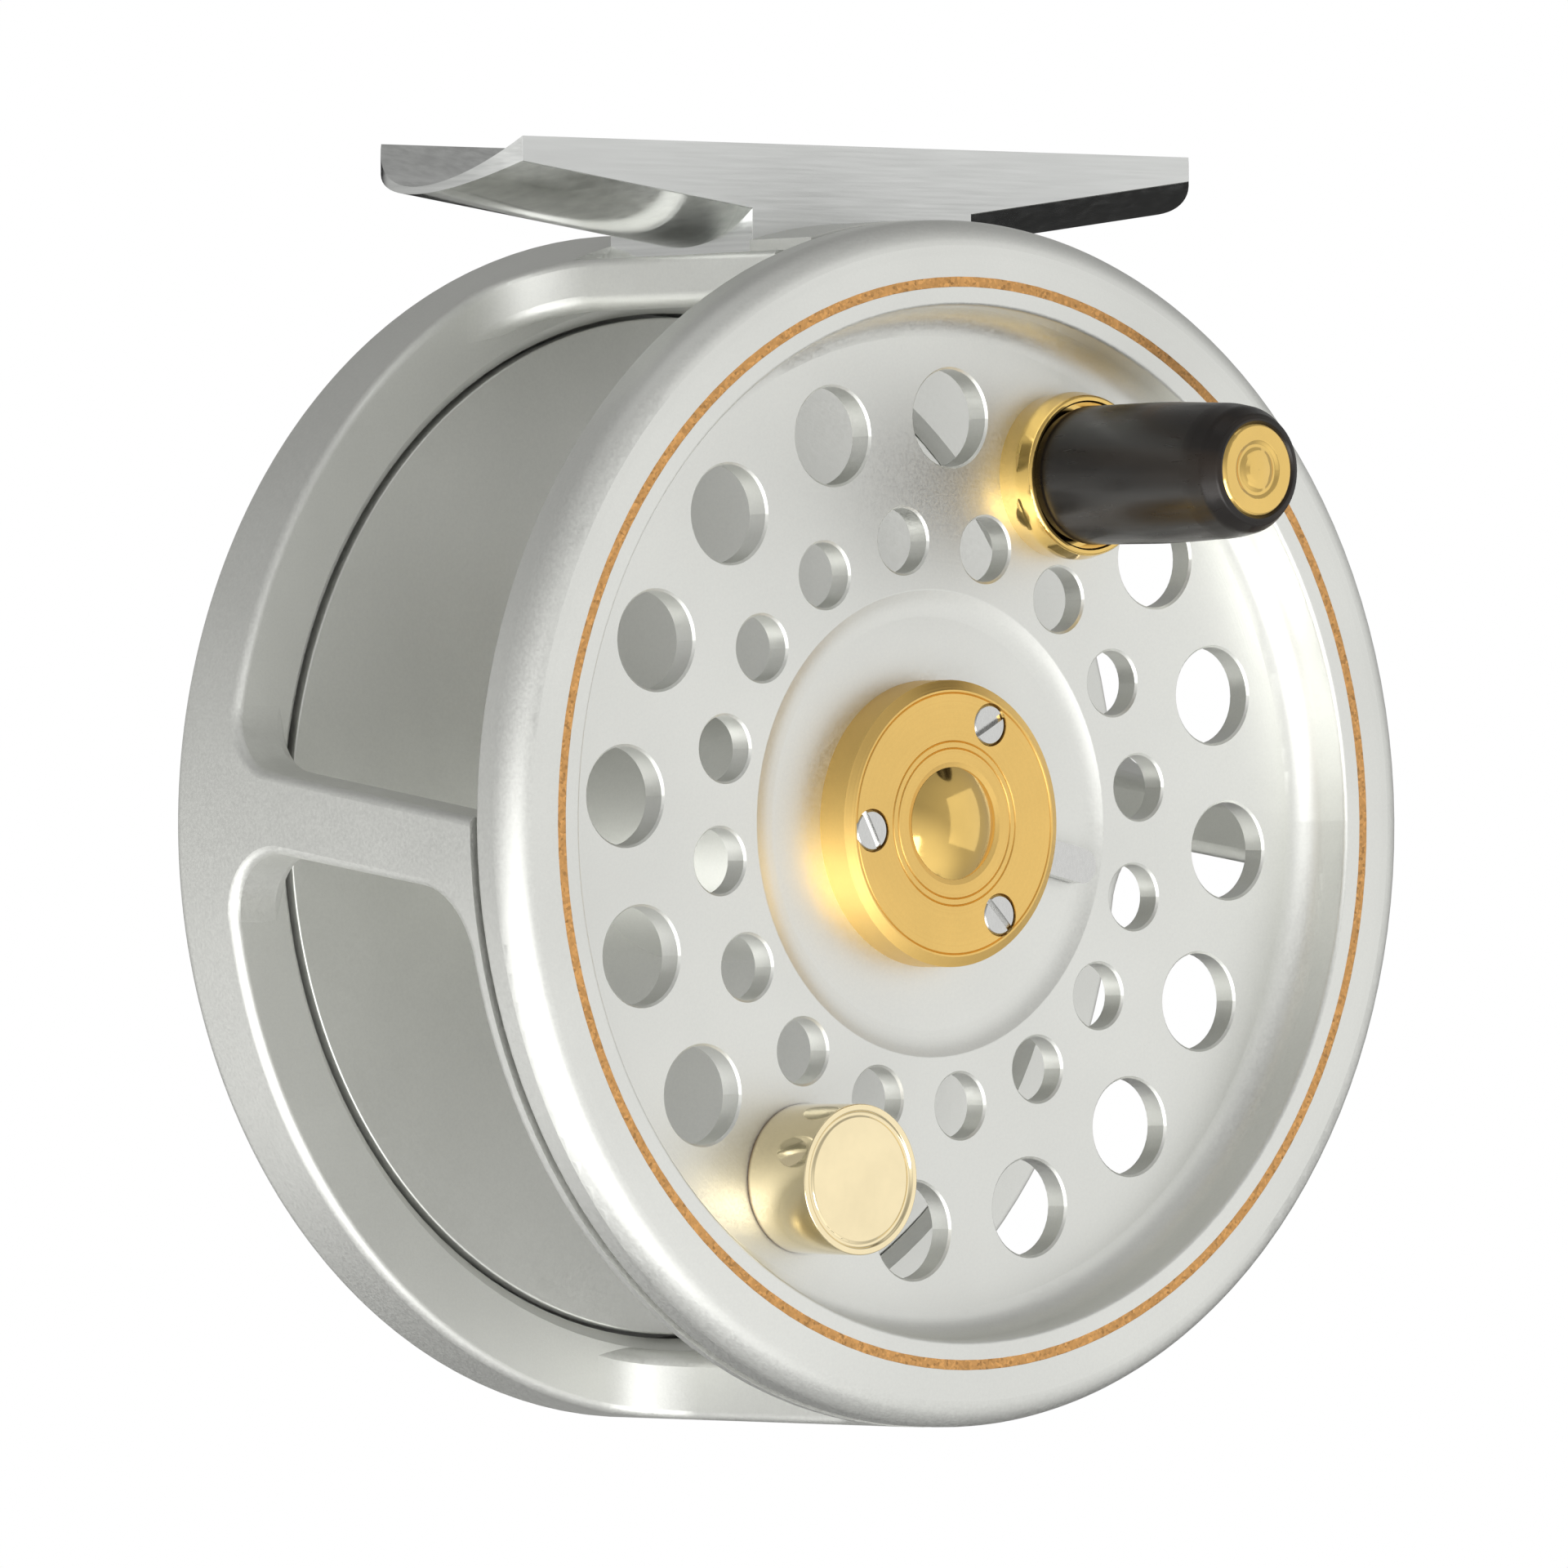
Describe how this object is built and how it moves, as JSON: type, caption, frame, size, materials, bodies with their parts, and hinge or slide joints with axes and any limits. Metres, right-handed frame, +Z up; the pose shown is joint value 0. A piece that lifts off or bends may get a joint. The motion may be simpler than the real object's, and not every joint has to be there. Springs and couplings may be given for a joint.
{
  "type": "fly reel",
  "caption": "Fly fishing reel with a full cage, a perforated spool with inlaid rim, horn winding handle, counterweight, latch cover and a saddle foot.",
  "frame": {"origin": "bottom of the saddle on top of the foot, midway along it, where the rod rests", "axes": "+Z up from the foot into the rod, +Y along the spool's axis to the rear, +X to the handle's side, along the rod"},
  "size_m": [0.0794, 0.0523, 0.0846],
  "materials": {
    "silver_satin": "bead-blasted and clear anodised satin",
    "foot_aluminium": "brushed and lightly polished",
    "gold_anodised": "satin gold anodised",
    "gold_polished": "polished and lacquered",
    "polished_brass": "polished and lacquered, pale",
    "bright_steel": "bright machined",
    "spring_steel": "blued",
    "bronze": "machined bronze",
    "cork_inlay": "fine speckled cork composite, matt",
    "horn": "semi-gloss dark horn"
  },
  "bodies": {
    "cage": {"cage_frame": "silver_satin", "back_plate": "silver_satin", "back_plate_screws": "bright_steel", "foot": "foot_aluminium", "foot_screws": "bright_steel", "spindle": "bright_steel", "spindle_nut": "gold_anodised", "thrust_washer": "bronze", "pawl_post": "bright_steel", "spring_post": "bright_steel", "click_spring": "spring_steel", "regulator_bush": "bronze"},
    "regulator": {"regulator_cam": "bright_steel", "regulator_knob": "gold_anodised"},
    "click_pawl": {"click_pawl": "bright_steel"},
    "spool": {"spool_front_flange": "silver_satin", "rim_inlay": "cork_inlay", "spool_arbor": "silver_satin", "spool_rear_flange": "silver_satin", "hub_bush": "bronze", "hub_screws": "bright_steel", "gear_screws": "bright_steel", "check_gear": "bronze", "latch_sleeve": "bright_steel", "latch_spring": "spring_steel", "latch_cover": "gold_anodised", "cover_dome": "gold_polished", "cover_screws": "bright_steel", "handle_collar": "gold_polished", "handle_post": "bright_steel", "counterweight": "polished_brass", "counterweight_rivet": "bright_steel"},
    "latch": {"latch_plate": "bright_steel"},
    "handle": {"handle_grip": "horn", "handle_cap": "gold_polished", "handle_sleeve": "bronze"}
  },
  "joints": [
    {"name": "spool_spin", "type": "hinge", "parent": "cage", "child": "spool", "pos_m": [0, -0.0174, -0.04173], "axis": [0, 1, 0], "continuous": true},
    {"name": "handle_spin", "type": "hinge", "parent": "spool", "child": "handle", "pos_m": [0.01175, -0.0174, -0.01873], "axis": [0, 1, 0], "continuous": true},
    {"name": "latch_swing", "type": "hinge", "parent": "spool", "child": "latch", "pos_m": [0.00399, -0.0174, -0.04778], "axis": [0, 1, 0], "range_deg": [0, 6.3], "stiffness_Nm_per_rad": 0.02, "springref_deg": -20.05, "deforming": ["latch_spring"]},
    {"name": "click_rock", "type": "hinge", "parent": "cage", "child": "click_pawl", "pos_m": [-0.008, -0.0174, -0.05533], "axis": [0, 1, 0], "range_deg": [0, 9], "stiffness_Nm_per_rad": 0.02, "springref_deg": -20.05, "deforming": ["click_spring"]},
    {"name": "regulator_turn", "type": "hinge", "parent": "cage", "child": "regulator", "pos_m": [0.004, -0.0174, -0.05998], "axis": [0, 1, 0], "range_deg": [0, 180]}
  ]
}
